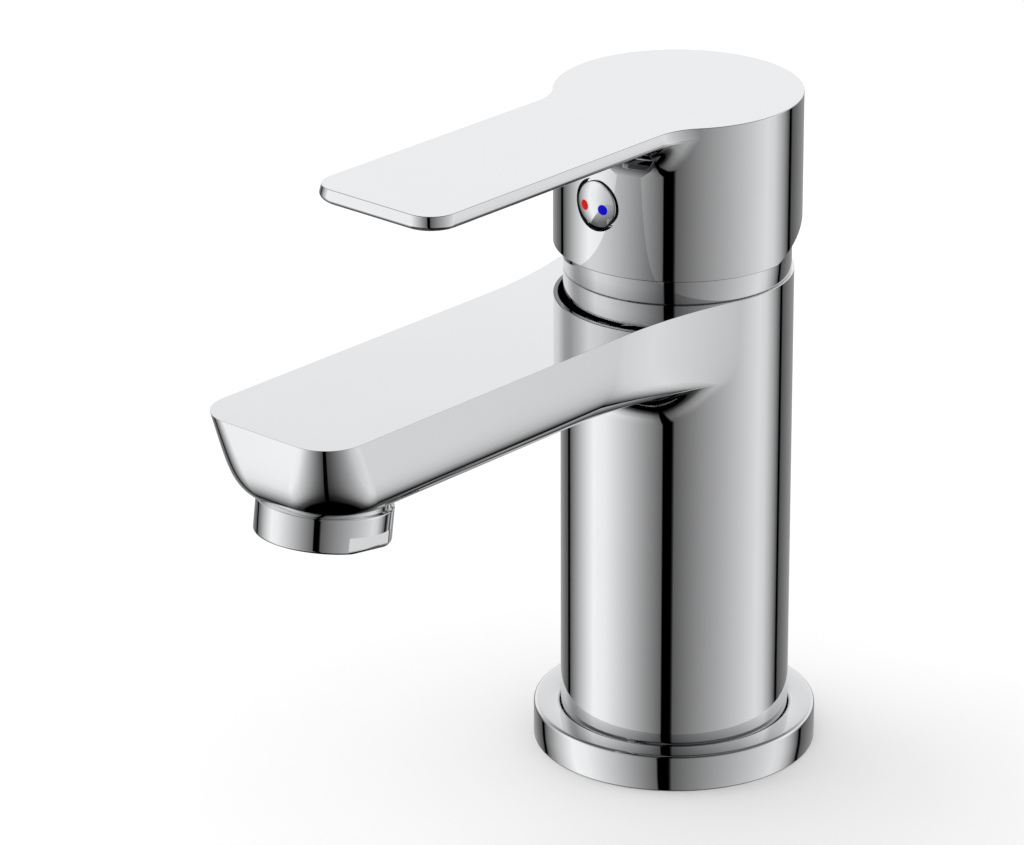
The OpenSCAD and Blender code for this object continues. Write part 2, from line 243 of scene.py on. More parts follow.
class Arm:
    """A round column of radius R whose flat top face runs out into an arm towards -Y.

    The arm's wall follows its outline, sinks by an inset that grows with depth, and turns into a flat
    underside. A ball of radius ball rolls between the arm and the column, and leaves the fillet. The insets
    side and front, and the corner radius, are functions of the depth. The last six values are counts of
    points on the flare, side, corner and front, the depths of the rows, and the points of a fillet arc.
    """

    def __init__(self, radius, flare, half, reach, corner, top, deep, side, front, ball,
                 flare_n, side_n, corner_n, front_n, rows, arc_n):
        self.R, self.F, self.half, self.reach, self.corner = radius, flare, half, reach, corner
        self.top, self.deep, self.side, self.front, self.ball = top, deep, side, front, ball
        self.n = (flare_n, side_n, corner_n, front_n)
        self.rows, self.arc_n = rows, arc_n

    def point(self, zone, t, h):
        """A point of the right half of the wall: zone 0 flare, 1 side, 2 corner, 3 front; t from 0 to 1."""
        w = self.half - self.side(h)
        front = self.reach - self.front(h)
        yc = -math.sqrt((self.R + self.F) ** 2 - (w + self.F) ** 2)
        a = math.atan2(-yc, w + self.F)
        r = self.corner(h)
        y_corner = -front + r
        if zone == 0:
            q = a * (1 - t)
            return np.array([w + self.F - self.F * math.cos(q), yc + self.F * math.sin(q), self.top - h])
        if zone == 1:
            return np.array([w, yc + (y_corner - yc) * t, self.top - h])
        x_corner = w - r
        if zone == 2:
            q = PI / 2 * t
            return np.array([x_corner + r * math.cos(q), y_corner - r * math.sin(q), self.top - h])
        return np.array([x_corner * (1 - t), -front, self.top - h])

    def normal(self, zone, t, h):
        e = 1e-4
        t0, t1 = max(0.0, t - e), min(1.0, t + e)
        h0, h1 = max(0.0, h - e * 5), min(self.deep - 1e-7, h + e * 5)
        du = self.point(zone, t1, h) - self.point(zone, t0, h)
        dh = self.point(zone, t, h1) - self.point(zone, t, h0)
        n = np.cross(du, dh)
        return n / np.linalg.norm(n)

    def foot(self, h):
        """Where the rolling ball leaves the wall at depth h: the zone, flare or side, and t."""
        def gap(zone, t):
            q = self.point(zone, t, h) + self.normal(zone, t, h) * self.ball
            return math.hypot(q[0], q[1]) - (self.R + self.ball)
        zone = 1 if gap(0, 1.0) < 0 else 0
        lo, hi = 0.0, 1.0
        for _ in range(40):
            mid = (lo + hi) / 2
            if gap(zone, mid) < 0:
                lo = mid
            else:
                hi = mid
        return zone, hi

    def lines(self):
        """Rows of wall points and normals from the right foot, round the tip, to the left foot."""
        self.wall_p, self.wall_n, self.feet = [], [], []
        nf, ns, nc, nt = self.n
        for k, h in enumerate(self.rows):
            hh = min(h, self.deep - 1e-6)
            zone, t = self.foot(hh) if k else (0, 0.0)
            if zone == 0:
                params = [(0, t + (1 - t) * i / nf) for i in range(nf)]
                params += [(1, i / ns) for i in range(ns)]
            else:
                # the flare's share of points moves on to the side
                mid = (t + 1 / ns) / 2
                params = [(1, t + (mid - t) * i / nf) for i in range(nf)]
                params += [(1, mid)] + [(1, i / ns) for i in range(1, ns)]
            params += [(2, i / nc) for i in range(nc)]
            params += [(3, i / nt) for i in range(nt + 1)]
            last = h >= self.deep - 1e-9
            p = [self.point(z, t, h if not last else self.deep) for z, t in params]
            n = [np.array([0, 0, -1.0]) if last else self.normal(z, t, hh) for z, t in params]
            flip = np.array([-1, 1, 1])
            p += [q * flip for q in p[-2::-1]]
            n += [q * flip for q in n[-2::-1]]
            n[len(params) - 1] = n[len(params) - 1] * np.array([0, 1, 1])
            self.wall_p.append(p)
            self.wall_n.append(n)
        self.wall_p, self.wall_n = np.array(self.wall_p), np.array(self.wall_n)

    def strip(self, under_n):
        """The fillet: an arc to the column from each foot point, from the right top edge to the left one."""
        feet = [(self.wall_p[k, 0], self.wall_n[k, 0]) for k in range(len(self.rows))]
        a_end = math.atan2(feet[-1][0][0], -feet[-1][0][1])
        r_foot = math.hypot(feet[-1][0][0], feet[-1][0][1])
        under = []
        for i in range(1, under_n):
            a = a_end * (1 - 2 * i / under_n)
            under.append((np.array([r_foot * math.sin(a), -r_foot * math.cos(a), self.top - self.deep]),
                          np.array([0, 0, -1.0])))
        flip = np.array([-1, 1, 1])
        feet = feet + under + [(p * flip, n * flip) for p, n in feet[::-1]]
        pos, nor = [], []
        for k, (p, n) in enumerate(feet):
            if k in (0, len(feet) - 1):
                pos.append([p] * (self.arc_n + 1))
                nor.append([n] * (self.arc_n + 1))
                continue
            c = p + n * self.ball
            radial = np.array([c[0], c[1], 0.0])
            radial /= np.linalg.norm(radial)
            end = radial
            ang = math.acos(max(-1, min(1, float(n @ end))))
            row_p, row_n = [], []
            for m in range(self.arc_n + 1):
                f = m / self.arc_n
                if ang < 1e-5:
                    d = n * (1 - f) + end * f
                else:
                    d = (n * math.sin((1 - f) * ang) + end * math.sin(f * ang)) / math.sin(ang)
                d /= np.linalg.norm(d)
                row_n.append(d)
                row_p.append(c - d * self.ball)
            row_p[0] = p
            row_p[-1] = np.array([radial[0] * self.R, radial[1] * self.R, c[2]])
            pos.append(row_p)
            nor.append(row_n)
        self.under_feet = [p for p, _ in under]
        self.strip_p, self.strip_n = np.array(pos), np.array(nor)
        return self.strip_p, self.strip_n


def cylinder_wall(build, radius, top_line, bottom_line, holes, spacing, inner=False):
    """A round wall between two closed lines of (angle, z), cut by round holes, in near-equal triangles.

    Angles run from -pi to pi, measured from -Y towards +X. Both lines start at -pi and end at pi.
    Holes are closed lines.
    """
    z0, z1 = bottom_line[-1][1], top_line[-1][1]
    seam_n = max(2, int((z1 - z0) / spacing))
    seam = [(PI, z0 + (z1 - z0) * i / seam_n) for i in range(1, seam_n)]
    outline = bottom_line + seam + top_line[::-1] + [(-a, z) for a, z in seam[::-1]]
    rings = [[(a * radius, z) for a, z in outline]] + [[(a * radius, z) for a, z in ring] for ring in holes]
    pts, edges = [], []
    for ring in rings:
        k = len(pts)
        pts += ring
        edges += [(k + i, k + (i + 1) % len(ring)) for i in range(len(ring))]
    border = np.array(pts)
    low = min(z for _, z in bottom_line)
    high = max(z for _, z in top_line)
    rows = max(2, int((high - low) / (spacing * 0.866)))
    count = max(8, int(2 * PI * radius / spacing))
    ring_arrays = [np.array(r) for r in rings]
    grid = []
    for i in range(1, rows):
        z = low + (high - low) * i / rows
        for j in range(count):
            s = (-PI + 2 * PI * (j + 0.25 + 0.5 * (i % 2)) / count) * radius
            c = Vector((s, z))
            if sum(_inside(c, r) for r in ring_arrays) % 2 == 0:
                continue
            if np.hypot(border[:, 0] - s, border[:, 1] - z).min() < spacing * 0.55:
                continue
            if _line_gap(ring_arrays, s, z) < spacing * 0.4:
                continue
            grid.append((s, z))
    pts = [Vector(p) for p in pts + grid]
    verts, _, faces, orig, _, _ = delaunay_2d_cdt(pts, edges, [], 0, 1e-7)
    for f in faces:
        c = sum((Vector(verts[i]) for i in f), Vector((0, 0))) / len(f)
        if sum(_inside(c, r) for r in ring_arrays) % 2 == 0:
            continue
        p, n = [], []
        for i in f:
            s, z = pts[orig[i][0]] if orig[i] else verts[i]
            a = s / radius
            p.append((radius * math.sin(a), -radius * math.cos(a), z))
            n.append((-math.sin(a), math.cos(a), 0) if inner else (math.sin(a), -math.cos(a), 0))
        m = np.cross(np.array(p[1]) - np.array(p[0]), np.array(p[2]) - np.array(p[0]))
        if m @ np.array(n[0]) < 0:
            p, n = p[::-1], n[::-1]
        build.face(p, n)


def _line_gap(rings, s, z):
    """The distance of a point from the nearest edge of the rings."""
    best = math.inf
    for a in rings:
        d = np.roll(a, -1, axis=0) - a
        along = (s - a[:, 0]) * d[:, 0] + (z - a[:, 1]) * d[:, 1]
        t = np.clip(along / np.maximum((d ** 2).sum(1), 1e-12), 0, 1)
        best = min(best, np.hypot(a[:, 0] + t * d[:, 0] - s, a[:, 1] + t * d[:, 1] - z).min())
    return best


def arm_mesh(build, arm, under_n, top_bevel, back_n, bottom_line, holes, spacing, top_hole=None):
    """The outside of a column with an arm: top face, wall, underside, fillet and column wall."""
    arm.lines()
    sp, sn = arm.strip(under_n)
    rows = arm.wall_p.shape[0]
    build.grid(arm.wall_p, arm.wall_n)
    build.grid(sp, sn, flip=True)
    # back of the top edge, from the left foot round the back to the right foot
    right = math.atan2(sp[0, -1, 0], -sp[0, -1, 1])
    back = [right + (2 * PI - 2 * right) * i / back_n for i in range(1, back_n)]
    edge_top = arm.top - arm.rows[0]
    back_p = [np.array([arm.R * math.sin(a), -arm.R * math.cos(a), edge_top]) for a in back]
    back_nrm = [np.array([math.sin(a), -math.cos(a), 0.0]) for a in back]
    # loop: wall row 0 from right to left, then the back from left to right
    loop = list(arm.wall_p[0]) + back_p[::-1]
    out = list(arm.wall_n[0]) + back_nrm[::-1]
    out = [np.array([n[0], n[1], 0.0]) / math.hypot(n[0], n[1]) for n in out]
    # bevel between the wall and the top face
    rings_p, rings_n = [], []
    steps = 4
    for i in range(steps + 1):
        q = PI / 2 * i / steps
        rings_p.append([p - n * top_bevel * (1 - math.cos(q)) + np.array([0, 0, top_bevel * math.sin(q)])
                        for p, n in zip(loop, out)])
        rings_n.append([n * math.cos(q) + np.array([0, 0, math.sin(q)]) for n in out])
    for r in rings_p + rings_n:
        r.append(r[0])
    build.grid(np.array(rings_p), np.array(rings_n), flip=True)
    top = rings_p[-1][:-1]
    build.flat([top] + ([top_hole] if top_hole else []), (0, 0, 1))
    # underside
    under = list(arm.wall_p[-1]) + [p for p in arm.under_feet[::-1]]
    build.flat([under], (0, 0, -1))
    # column wall: its top line is the fillet's end, and the top edge at the back
    feet = [(math.atan2(p[0], -p[1]), p[2]) for p in sp[::-1, -1]]
    half = back_n // 2
    right_back = [(a, edge_top) for a in back[:half - 1]] + [(PI, edge_top)]
    left_back = [(-a, z) for a, z in right_back[::-1]]
    cylinder_wall(build, arm.R, left_back + feet + right_back, bottom_line, holes, spacing)


def ring_line(radius, height, steps=96):
    """A closed line of (angle, z) round a wall, where height gives z at a y."""
    angles = [-PI + 2 * PI * i / steps for i in range(steps + 1)]
    return [(a, height(-radius * math.cos(a))) for a in angles]


def circle(radius, z, steps=96, x=0.0, y=0.0):
    return [(x + radius * math.sin(2 * PI * i / steps), y - radius * math.cos(2 * PI * i / steps), z)
            for i in range(steps)]


def tube(build, loop_a, loop_b, centre, inner=False, slot=0):
    """A straight round wall between two equal loops, whose normals point away from centre or towards it."""
    a = np.array(list(loop_a) + [loop_a[0]], float)
    b = np.array(list(loop_b) + [loop_b[0]], float)
    axis = (b - a).mean(0)
    axis /= np.linalg.norm(axis)
    out = a - np.array(centre, float)
    out -= np.outer(out @ axis, axis)
    out /= np.linalg.norm(out, axis=1, keepdims=True)
    if inner:
        out = -out
    pos = np.array([a, b])
    m = np.cross(pos[0, 1] - pos[0, 0], pos[1, 1] - pos[0, 0])
    build.grid(pos, np.array([out, out]), slot, m @ out[0] < 0)


# ---------------------------------------------------------------- materials


def material(name, color, metallic, rough, spread, scale, tint=0.0, bump=0.0, gloss=0.5):
    """A surface whose roughness and shade drift a little over its own noise, at scale per metre."""
    m = bpy.data.materials.new(name)
    m.use_nodes = True
    nodes, links = m.node_tree.nodes, m.node_tree.links
    b = nodes["Principled BSDF"]
    b.inputs["Metallic"].default_value = metallic
    b.inputs["Specular IOR Level"].default_value = gloss
    place = nodes.new("ShaderNodeTexCoord")
    noise = nodes.new("ShaderNodeTexNoise")
    noise.inputs["Scale"].default_value = scale
    noise.inputs["Detail"].default_value = 4
    links.new(place.outputs["Object"], noise.inputs["Vector"])
    level = nodes.new("ShaderNodeMapRange")
    level.inputs["To Min"].default_value = max(0.0, rough - spread)
    level.inputs["To Max"].default_value = rough + spread
    links.new(noise.outputs["Fac"], level.inputs["Value"])
    links.new(level.outputs["Result"], b.inputs["Roughness"])
    ramp = nodes.new("ShaderNodeValToRGB")
    for stop, sign in zip(ramp.color_ramp.elements, (-1, 1)):
        stop.color = [max(0.0, min(1.0, c * (1 + sign * tint))) for c in color] + [1]
    ramp.color_ramp.elements[0].position = 0.3
    ramp.color_ramp.elements[1].position = 0.7
    links.new(noise.outputs["Fac"], ramp.inputs["Fac"])
    links.new(ramp.outputs["Color"], b.inputs["Base Color"])
    if bump:
        fine = nodes.new("ShaderNodeTexNoise")
        fine.inputs["Scale"].default_value = scale * 12
        fine.inputs["Detail"].default_value = 3
        links.new(place.outputs["Object"], fine.inputs["Vector"])
        node = nodes.new("ShaderNodeBump")
        node.inputs["Strength"].default_value = bump
        node.inputs["Distance"].default_value = 0.0001
        links.new(fine.outputs["Fac"], node.inputs["Height"])
        links.new(node.outputs["Normal"], b.inputs["Normal"])
    return m


CHROME = material("chrome_plate", (0.70, 0.705, 0.715), 1, 0.012, 0.008, 60, 0.006)
BRASS = material("turned_brass", (0.72, 0.55, 0.28), 1, 0.28, 0.08, 400, 0.06, 0.2)
STEEL = material("pin_steel", (0.62, 0.63, 0.65), 1, 0.22, 0.06, 500, 0.04, 0.15)
RUBBER = material("seal_rubber", (0.025, 0.025, 0.027), 0, 0.62, 0.1, 500, 0.15, 0.3)
WHITE = material("moulded_white", (0.82, 0.82, 0.79), 0, 0.42, 0.08, 400, 0.02, 0.15)
GREY = material("moulded_grey", (0.30, 0.32, 0.35), 0, 0.40, 0.08, 400, 0.05, 0.2)
BLUE = material("moulded_blue", (0.05, 0.14, 0.36), 0, 0.40, 0.08, 400, 0.05, 0.2)
CERAMIC = material("lapped_ceramic", (0.90, 0.90, 0.87), 0, 0.16, 0.05, 300, 0.01)
RED_DOT = material("red_enamel", (0.88, 0.001, 0.001), 0, 0.5, 0.04, 900, 0.03, 0.05, 0.12)
BLUE_DOT = material("blue_enamel", (0.001, 0.001, 0.80), 0, 0.5, 0.04, 900, 0.03, 0.05, 0.12)
# near-black colour for the wall of a deep gap: painted shade, not the metal's own colour
PAINTED_GAP_SHADE = material("painted_gap_shade", (0.012, 0.012, 0.013), 0, 0.7, 0.1, 900, 0.2)

BY_SLOT = {"chrome": CHROME, "brass": BRASS, "steel": STEEL, "rubber": RUBBER, "white_plastic": WHITE,
           "grey_plastic": GREY, "blue_plastic": BLUE, "white_ceramic": CERAMIC, "red_mark": RED_DOT,
           "blue_mark": BLUE_DOT}
for part in frame["record"]["subparts"]:
    node = frame["nodes"][part["node"]]
    for place in node.material_slots:
        place.material = BY_SLOT[part["material_slot"]]

# ---------------------------------------------------------------- body

COLUMN_R = 22.6
TOP_Z = 99.3
SPOUT_H = 16.6


SPOUT_HALF, SPOUT_REACH, SPOUT_FLARE, SPOUT_FILLET = 17.2, 115, 100, 8
SPOUT_CORNER, CORNER_GROWTH = 8, 0.33
SIDE_DRAFT, FRONT_DRAFT = 0.05, 0.13
ROLL, ROLL_POWER = 5.3, 6
EDGE = 0.06


def spout_roll(h):
    """Inset of the rounded lower edge at a depth."""
    return ROLL * (1 - math.sqrt(max(0.0, 1 - (h / SPOUT_H) ** ROLL_POWER)))


def spout_side(h):
    return SIDE_DRAFT * h + spout_roll(h)


def spout_front(h):
    return FRONT_DRAFT * h + spout_roll(h)


def spout_corner(h):
    return SPOUT_CORNER + CORNER_GROWTH * h - spout_roll(h)


rolls = [3, 6, 10, 14, 19, 25, 31, 37, 43, 49, 55, 60, 65, 70, 74, 78, 81, 84, 87]
depths = [SPOUT_H * math.sin(math.radians(a)) ** (1 / 3) for a in rolls]
depths = sorted([EDGE, 1.2, 2.4, 3.8, 5.2, SPOUT_H] + depths)
spout = Arm(COLUMN_R, SPOUT_FLARE, SPOUT_HALF, SPOUT_REACH, spout_corner, TOP_Z, SPOUT_H,
            spout_side, spout_front, SPOUT_FILLET, 20, 12, 14, 5, depths, 12)
b = Build()
LIP_Z, NUT_R, CARTRIDGE_R = 2.2, 19.05, 17.5
BORE = circle(NUT_R, TOP_Z)
foot_line = ring_line(COLUMN_R, lambda y: LIP_Z)
arm_mesh(b, spout, 28, EDGE, 72, foot_line, [], 2.2, top_hole=BORE)
# cartridge bore
STEP_Z, SEAT_Z = 94.6, 80
tube(b, BORE, circle(NUT_R, STEP_Z), (0, 0, 0), inner=True)
b.flat([circle(NUT_R, STEP_Z), circle(CARTRIDGE_R, STEP_Z)], (0, 0, 1))
tube(b, circle(CARTRIDGE_R, STEP_Z), circle(CARTRIDGE_R, SEAT_Z), (0, 0, 0), inner=True)
b.flat([circle(CARTRIDGE_R, SEAT_Z)], (0, 0, 1))
# hollow foot with its threaded holes
SKIRT_R, SKIRT_Z = 19.4, 28
foot_edge = [(COLUMN_R * math.sin(a), -COLUMN_R * math.cos(a), z) for a, z in foot_line[:-1]]
b.flat([foot_edge, circle(SKIRT_R, LIP_Z)], (0, 0, -1))
tube(b, circle(SKIRT_R, LIP_Z), circle(SKIRT_R, SKIRT_Z), (0, 0, 0), inner=True)
# threaded holes as radius, x, y and length: hot inlet, cold inlet, fixing stud
holes = [(4.6, -8, -5, 12), (4.6, 8, -5, 12), (3.4, 0, 10, 14)]
b.flat([circle(SKIRT_R, SKIRT_Z)] + [circle(r, SKIRT_Z, 40, x, y) for r, x, y, _ in holes], (0, 0, -1))
for r, x, y, length in holes:
    # grooves 1 mm apart
    z = SKIRT_Z
    ring = circle(r, z, 40, x, y)
    for turn in range(length):
        for dr, dz in ((-0.25, 0.5), (0, 0.5)):
            z += dz
            nxt = circle(r + dr, z, 40, x, y)
            tube(b, ring, nxt, (x, y, 0), inner=True)
            ring = nxt
    b.flat([ring], (0, 0, -1))
b.done("body_shell", "root", [CHROME], ["body"])

# ---------------------------------------------------------------- handle

CAP_R, CAP_IN_R, CAP_TOP, CEILING_Z = 24, 23.15, 135.2, 131.7
RIM_Z, KINK_Y, RIM_TAN = 104.6, 1.3, math.tan(math.radians(22.3))
BUTTON_Z, HOLE_R = 118.1, 5.25
LEVER_T, LEVER_SIDE, LEVER_ROUND, LEVER_LEAN = 3.1, 1.66, 1.45, 0.18


def rim(y):
    return RIM_Z + max(0.0, (y - KINK_Y) * RIM_TAN)


def lever_in(h):
    """The lever's side leans out a little down to LEVER_SIDE, and then rounds in to the underside."""
    t = max(0.0, (h - LEVER_SIDE) / (LEVER_T - LEVER_SIDE))
    return LEVER_ROUND * (1 - math.sqrt(max(0.0, 1 - t * t))) - LEVER_LEAN * min(h, LEVER_SIDE)


def wall_hole(radius, r, z0, n=96):
    """The line that a round hole along Y cuts in a wall, as (angle, z)."""
    turns = [2 * PI * i / n for i in range(n)]
    return [(math.asin(r * math.cos(q) / radius), z0 + r * math.sin(q)) for q in turns]


def on_wall(radius, line):
    return [(radius * math.sin(a), -radius * math.cos(a), z) for a, z in line]


LEVER_FLARE, LEVER_HALF, LEVER_REACH, LEVER_CORNER, LEVER_FILLET, TOP_BEVEL = 12, 15.4, 85.5, 5.6, 7, 0.15
depths = [TOP_BEVEL, 0.6, 1.1, LEVER_SIDE]
depths += [LEVER_SIDE + (LEVER_T - LEVER_SIDE) * math.sin(math.radians(a))
           for a in (12, 24, 36, 48, 59, 69, 78, 84)]
lever = Arm(CAP_R, LEVER_FLARE, LEVER_HALF, LEVER_REACH, lambda h: LEVER_CORNER, CAP_TOP, LEVER_T,
            lever_in, lever_in, LEVER_FILLET, 14, 12, 14, 6, depths + [LEVER_T], 10)
b = Build()
rim_angles = ring_line(1, lambda y: 0, 120)
CHAMFER = 0.2
outer_rim = [(a, rim(-CAP_R * math.cos(a)) + CHAMFER) for a, _ in rim_angles]
hole_out, hole_in = wall_hole(CAP_R, HOLE_R, BUTTON_Z), wall_hole(CAP_IN_R, HOLE_R, BUTTON_Z)
arm_mesh(b, lever, 24, TOP_BEVEL, 72, outer_rim, [hole_out], 1.9)
# rim: rounded outer edge, flat foot, inner wall and ceiling
outs, norms = [], []
for i in range(5):
    q = PI / 2 * i / 4
    r = CAP_R - CHAMFER * (1 - math.cos(q))
    row, nrm = [], []
    for a, _ in rim_angles:
        y = -CAP_R * math.cos(a)
        out = np.array([math.sin(a), -math.cos(a), 0.0])
        down = np.array([0, RIM_TAN if y > KINK_Y else 0, -1.0])
        down /= np.linalg.norm(down)
        z = rim(-r * math.cos(a)) + CHAMFER * (1 - math.sin(q))
        row.append(np.array([r * math.sin(a), -r * math.cos(a), z]))
        nrm.append(out * math.cos(q) + down * math.sin(q))
    outs.append(row)
    norms.append(nrm)
outs.append([np.array([CAP_IN_R * math.sin(a), -CAP_IN_R * math.cos(a), rim(-CAP_IN_R * math.cos(a))])
             for a, _ in rim_angles])
norms.append(norms[-1])
outs[0] = [np.array([CAP_R * math.sin(a), -CAP_R * math.cos(a), z]) for a, z in outer_rim]
b.grid(np.array(outs), np.array(norms), flip=True)
ceiling = ring_line(CAP_IN_R, lambda y: CEILING_Z, 120)
cylinder_wall(b, CAP_IN_R, ceiling, ring_line(CAP_IN_R, rim, 120), [hole_in], 2.4, True)
b.flat([on_wall(CAP_IN_R, ceiling[:-1])], (0, 0, -1))
# the hole's wall gets the near-black material: painted shade of the deep gap round the button
tube(b, on_wall(CAP_R, hole_out), on_wall(CAP_IN_R, hole_in), (0, 0, BUTTON_Z), inner=True, slot=1)
b.done("handle_shell", "handle", [CHROME, PAINTED_GAP_SHADE], ["handle"])

# hub inside the cap, that the stem's square fits
b = Build()
HUB_X, HUB_BACK, HUB_R, HUB_Z, EDGE_IN = 7.5, 7.0, 23.1, 114, 0.4
across = [HUB_X * (1 - i / 8) for i in range(17)]
front = [(x, -math.sqrt(HUB_R ** 2 - x ** 2)) for x in across]
plan = front + [(-HUB_X, HUB_BACK - EDGE_IN), (-HUB_X + EDGE_IN, HUB_BACK), (HUB_X - EDGE_IN, HUB_BACK),
                (HUB_X, HUB_BACK - EDGE_IN)]


def prism(build, outline, z0, z1, chamfer):
    """A straight block with a chamfered lower edge, from a plan outline."""
    pts = [np.array(p, float) for p in outline]
    n = len(pts)
    mid = sum(pts) / n
    low = [p + (mid - p) * chamfer / np.linalg.norm(mid - p) for p in pts]
    rings = [[[*p, z0] for p in low], [[*p, z0 + chamfer] for p in pts], [[*p, z1] for p in pts]]
    for ra, rb in zip(rings, rings[1:]):
        for i in range(n):
            j = (i + 1) % n
            quad = [np.array(ra[i]), np.array(ra[j]), np.array(rb[j]), np.array(rb[i])]
            m = np.cross(quad[1] - quad[0], quad[2] - quad[0])
            out = np.array([*((pts[i] + pts[j]) / 2 - mid), 0])
            if m @ out < 0:
                quad, m = quad[::-1], -m
            build.face(quad, [m / np.linalg.norm(m)] * 4)
    build.flat([rings[0]], (0, 0, -1))
    build.flat([rings[-1]], (0, 0, 1))


prism(b, plan, HUB_Z, CEILING_Z + 0.2, EDGE_IN)
b.done("handle_hub", "handle", [CHROME])

# ---------------------------------------------------------------- button and marks

BUTTON_Y, DOME_R, BUTTON_R, MARK_R = -23.7, 11.5, 4.65, 1.05
DOME_C = BUTTON_Y + math.sqrt(DOME_R ** 2 - BUTTON_R ** 2)
facing = Matrix(((1, 0, 0, 0), (0, 0, -1, 0), (0, 1, 0, BUTTON_Z), (0, 0, 0, 1)))


def dome(r):
    """How far out along -Y the dome stands at a radius."""
    return math.sqrt(DOME_R ** 2 - r * r) - DOME_C


b = Build()
ROUND = 0.35
q_edge = math.asin((BUTTON_R - ROUND) / DOME_R)
crown = [(DOME_R * math.sin(q_edge * i / 12), dome(DOME_R * math.sin(q_edge * i / 12))) for i in range(13)]
z_edge = crown[-1][1]
turns = [math.radians(a) for a in (35, 50, 65, 80, 90)]
edge = [(BUTTON_R - ROUND + ROUND * math.sin(q), z_edge - 0.02 - ROUND + ROUND * math.cos(q)) for q in turns]
# the wider foot inside the cap
FOOT_R, FOOT_Y, SEAT_Y = 5.1, 22.2, 20.7
stem = [(BUTTON_R, FOOT_Y), (FOOT_R, FOOT_Y), (FOOT_R, SEAT_Y), (0, SEAT_Y)]
b.lathe(crown + edge + stem, frame_m=facing, steps=72, crease=40)
b.done("button_cap", "handle", [CHROME], ["index_button"])

MARKS = [("mark_hot", "hot_mark", -2.4, RED_DOT, "red_mark"),
         ("mark_cold", "cold_mark", 2.1, BLUE_DOT, "blue_mark")]
MARK_DZ, MARK_LIFT, MARK_DEEP = -0.45, 0.09, 0.25
for name, node, x, paint, label in MARKS:
    b = Build()
    rows_p, rows_n = [], []
    for i in range(9):
        # a low drop of enamel on the dome
        f = i / 8
        r, lift = MARK_R * f, MARK_LIFT * math.sqrt(max(0.0, 1 - f ** 4))
        ring_p, ring_n = [], []
        for k in range(37):
            a = 2 * PI * k / 36
            px, pz = x + r * math.cos(a), MARK_DZ + r * math.sin(a)
            rad = math.hypot(px, pz)
            y = dome(rad) + lift - 0.01
            slope = f ** 3 * 0.25
            n = np.array([px / DOME_R + slope * math.cos(a), -1.0, pz / DOME_R + slope * math.sin(a)])
            ring_p.append((px, -y, BUTTON_Z + pz))
            ring_n.append(n / np.linalg.norm(n))
        rows_p.append(ring_p)
        rows_n.append(ring_n)
    b.grid(np.array(rows_p), np.array(rows_n), flip=True)
    back = [(p[0], p[1] + MARK_DEEP, p[2]) for p in rows_p[-1][:-1]]
    tube(b, rows_p[-1][:-1], back, (x, 0, BUTTON_Z + MARK_DZ))
    b.flat([back], (0, 1, 0))
    b.done(name, "handle", [paint], [node])

# ---------------------------------------------------------------- ring, flange, aerator

b = Build()
RING_R, FOOT = 22.1, 0.28
profile = [(20.1, TOP_Z), (RING_R - FOOT, TOP_Z)] + arc(RING_R - FOOT, TOP_Z + FOOT, FOOT, -80, 0, 6)
profile += [(RING_R, 102), (RING_R, 104.75)] + arc(RING_R - 0.45, 104.75, 0.45, 15, 73, 5)
# conical top with a hole for the stem, and the hollow under it
profile += [(17, 106.77), (13.3, 107.91), (13.05, 107.85), (13, 107.6), (13, 106.4)]
profile += [(16.5, 105.6), (20.1, 104.7)]
b.lathe(profile, steps=144)
b.done("cover_dome", "root", [CHROME], ["cover_ring"])

b = Build()
FLANGE_R, FLANGE_H, FLANGE_BORE, FLANGE_EDGE, FLANGE_LIP = 28, 7.5, 22.68, 0.8, 1.0
profile = [(20.2, 0), (23.6, 0), (23.6, 1.5), (26.4, 1.5), (26.4, 0), (27.7, 0)]
profile += arc(27.7, 0.3, 0.3, -90, 0, 4)[1:]
profile += [(FLANGE_R, 3.5)] + arc(FLANGE_R - FLANGE_EDGE, FLANGE_H - FLANGE_EDGE, FLANGE_EDGE, 0, 90, 10)
profile += [(25.4, FLANGE_H)]
profile += arc(FLANGE_BORE + FLANGE_LIP, FLANGE_H - FLANGE_LIP, FLANGE_LIP, 90, 180, 10)
profile += [(FLANGE_BORE, 2.2), (20.2, 2.2)]
b.lathe(profile, steps=160)
b.done("flange_ring", "root", [CHROME], ["base_flange"])

AER_Y, AER_Z, AER_LEAN = -99.45, 74.9, math.radians(-8.3)
leaning = Matrix.Translation((0, AER_Y, AER_Z)) @ Matrix.Rotation(AER_LEAN, 4, "X")
AER_R, FLAT_X, FLAT_H = 12.7, 11.45, 3.2
b = Build()
profile = [(8, 0.35), (8.35, 0)] + [(12.1, 0)] + arc(12.1, 0.6, 0.6, -75, 0, 5)
profile += [(AER_R, FLAT_H - 0.01), (AER_R, FLAT_H), (AER_R, 6.3)] + arc(12.2, 6.3, 0.5, 0, 60, 4)[1:]
profile += [(12.1, 7), (12.1, 9.2), (10.5, 9.2), (10.5, 16), (9, 16), (9, 1.3), (8, 1.1)]


